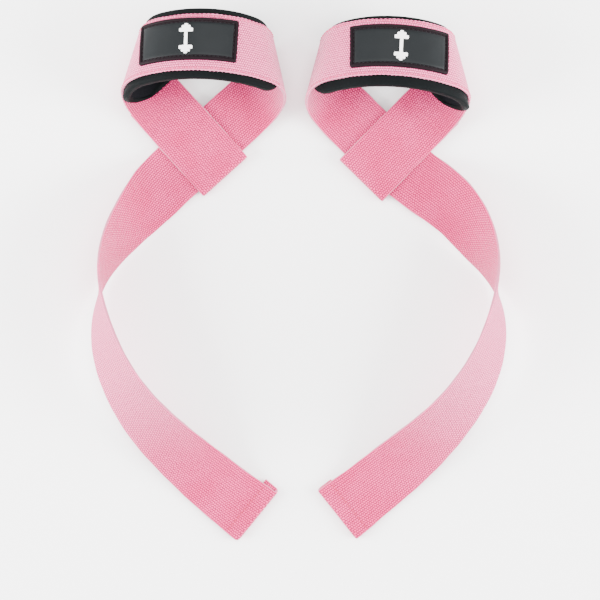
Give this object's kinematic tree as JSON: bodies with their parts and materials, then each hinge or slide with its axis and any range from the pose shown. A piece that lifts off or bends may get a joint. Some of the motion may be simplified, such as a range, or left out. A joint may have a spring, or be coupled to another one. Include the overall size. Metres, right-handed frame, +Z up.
{
  "type": "lifting straps",
  "caption": "Pair of lasso wrist lifting straps: cotton webbing loops with a padded cuff, a rubber badge and a loose hemmed tail through a sewn eye.",
  "frame": {"origin": "bottom centre of the bounding box, on the surface the pair lies on", "axes": "+Z up from the surface; +Y towards the cuffs, away from the tails' hems; +X towards the right strap"},
  "size_m": [0.2653, 0.3391, 0.0592],
  "materials": {
    "webbing": "woven cotton, matte",
    "neoprene": "foam with a knitted skin, matte",
    "lining": "knitted, matte",
    "rubber": "moulded, satin",
    "emblem": "printed, satin",
    "pink_thread": "thread",
    "black_thread": "thread"
  },
  "bodies": {
    "left_cuff": {"left_webbing_loop": "webbing", "left_pad_foam": "neoprene", "left_pad_lining": "lining", "left_pad_upper_seam": "pink_thread", "left_pad_lower_seam": "pink_thread", "left_badge": "rubber", "left_badge_seam": "black_thread", "left_badge_emblem": "emblem", "left_eye_stitching": "pink_thread"},
    "left_tail": {"left_webbing_tail_upper": "webbing"},
    "left_tail_end": {"left_webbing_tail_end": "webbing", "left_hem_stitching": "pink_thread"},
    "right_cuff": {"right_webbing_loop": "webbing", "right_pad_foam": "neoprene", "right_pad_lining": "lining", "right_pad_upper_seam": "pink_thread", "right_pad_lower_seam": "pink_thread", "right_badge": "rubber", "right_badge_seam": "black_thread", "right_badge_emblem": "emblem", "right_eye_stitching": "pink_thread"},
    "right_tail": {"right_webbing_tail_upper": "webbing"},
    "right_tail_end": {"right_webbing_tail_end": "webbing", "right_hem_stitching": "pink_thread"}
  },
  "joints": [
    {"name": "left_tail_slide", "type": "slide", "parent": "left_cuff", "child": "left_tail", "axis": [-0.7366, -0.6763, 0], "range_m": [0, 0.025]},
    {"name": "left_tail_swing", "type": "hinge", "parent": "left_tail", "child": "left_tail_end", "pos_m": [-0.12727, -0.00911, 0.02209], "axis": [0, 0, -1], "range_deg": [0, 50]},
    {"name": "right_tail_slide", "type": "slide", "parent": "right_cuff", "child": "right_tail", "axis": [0.7466, -0.6653, 0], "range_m": [0, 0.025]},
    {"name": "right_tail_swing", "type": "hinge", "parent": "right_tail", "child": "right_tail_end", "pos_m": [0.12679, -0.00937, 0.02226], "axis": [0, 0, 1], "range_deg": [0, 50]},
    {"name": "pair_spacing", "type": "slide", "parent": "left_cuff", "child": "right_cuff", "axis": [1, 0, 0], "range_m": [0, 0.15]}
  ]
}
